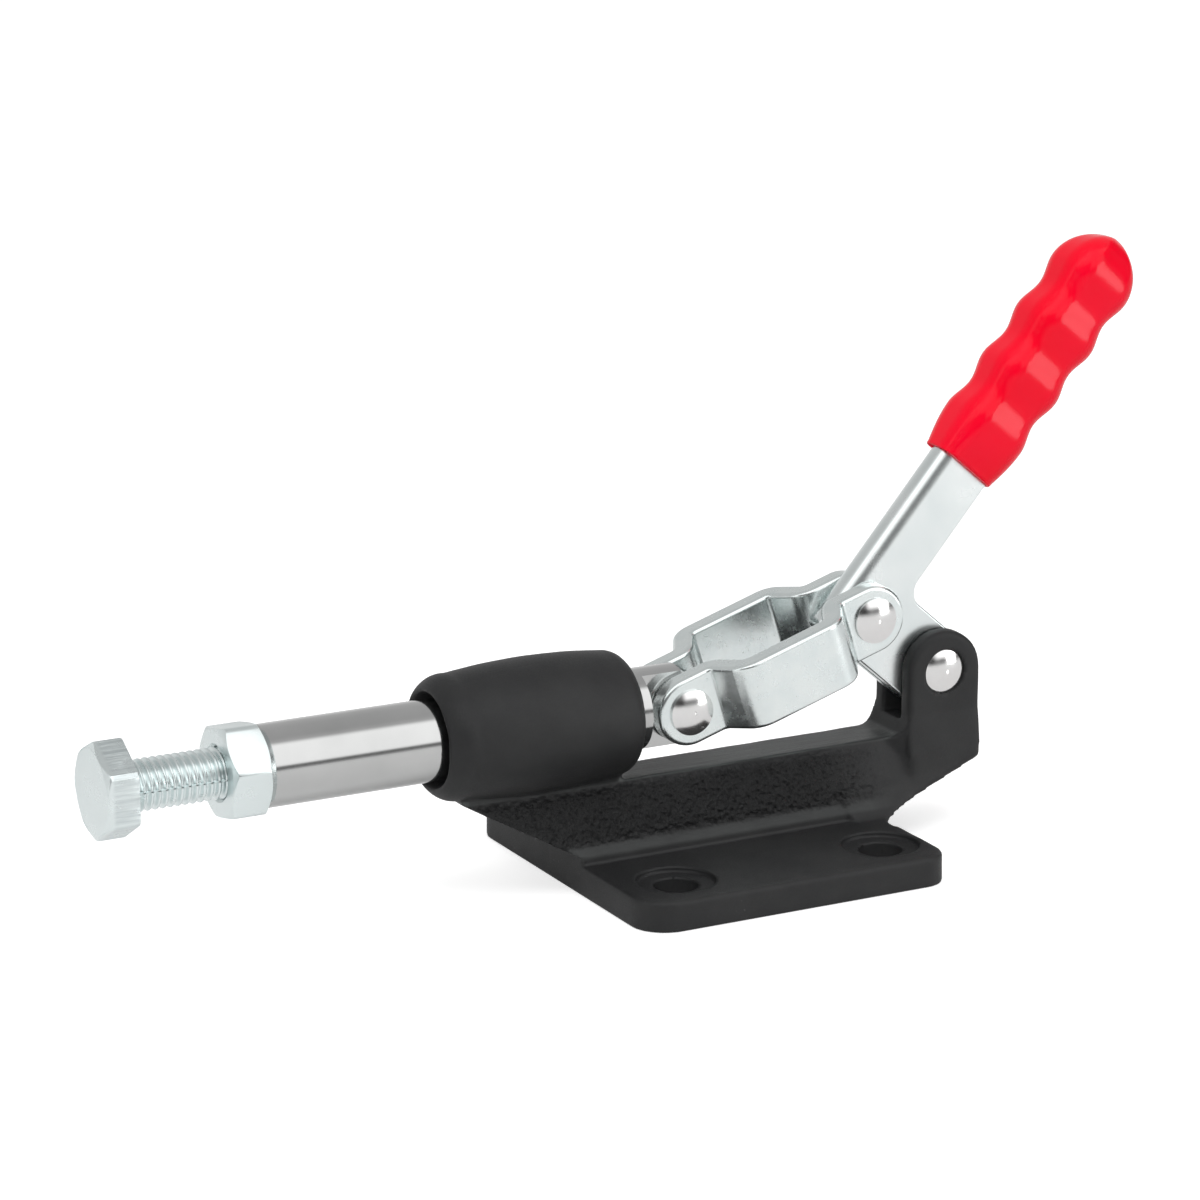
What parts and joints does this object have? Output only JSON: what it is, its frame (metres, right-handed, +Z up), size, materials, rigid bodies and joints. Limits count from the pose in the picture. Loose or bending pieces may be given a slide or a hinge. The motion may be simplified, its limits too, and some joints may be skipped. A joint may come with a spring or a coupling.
{
  "type": "push-pull toggle clamp",
  "caption": "Push-pull toggle clamp: cast flanged base with a sliding plunger, bowed strap links, lever handle with a moulded grip, and a screw spindle with lock nut.",
  "frame": {"origin": "centre of the four-hole mounting pattern, on the underside of the base", "axes": "+X the way the plunger pushes, +Z up away from the mounting face, +Y to the left of the user behind the handle; symmetric about the XZ plane"},
  "size_m": [0.2257, 0.0744, 0.1172],
  "materials": {
    "casting": "matte",
    "ground_steel": "satin",
    "zinc_plated": "satin",
    "rivet_steel": "polished",
    "grip": "gloss"
  },
  "bodies": {
    "base": {"base_casting": "casting", "rivet_base": "rivet_steel"},
    "handle": {"lever_handle": "zinc_plated", "hand_grip": "grip", "rivet_lever": "rivet_steel"},
    "links": {"link_left": "zinc_plated", "link_right": "zinc_plated", "rivet_plunger": "rivet_steel"},
    "plunger": {"plunger": "ground_steel"},
    "spindle": {"spindle_bolt": "zinc_plated"},
    "lock_nut": {"lock_nut": "zinc_plated"}
  },
  "joints": [
    {"name": "handle_swing", "type": "hinge", "parent": "base", "child": "handle", "pos_m": [-0.0489, 0, 0.033], "axis": [0, -1, 0], "range_deg": [-38.5, 50]},
    {"name": "link_swing", "type": "hinge", "parent": "handle", "child": "links", "pos_m": [-0.03184, 0, 0.04609], "axis": [0, -1, 0], "range_deg": [-69.3, 53.37]},
    {"name": "plunger_slide", "type": "slide", "parent": "base", "child": "plunger", "axis": [1, 0, 0], "range_m": [-0.0165, 0.01271]},
    {"name": "spindle_adjust", "type": "slide", "parent": "plunger", "child": "spindle", "axis": [1, 0, 0], "range_m": [-0.018, 0.012]},
    {"name": "nut_turn", "type": "hinge", "parent": "plunger", "child": "lock_nut", "pos_m": [0.1026, 0, 0.033], "axis": [1, 0, 0], "continuous": true}
  ],
  "couplings": [
    {"joint": "link_swing", "follows": "handle_swing", "ratio": -1.385},
    {"joint": "plunger_slide", "follows": "handle_swing", "m_per_rad": -0.0189}
  ]
}
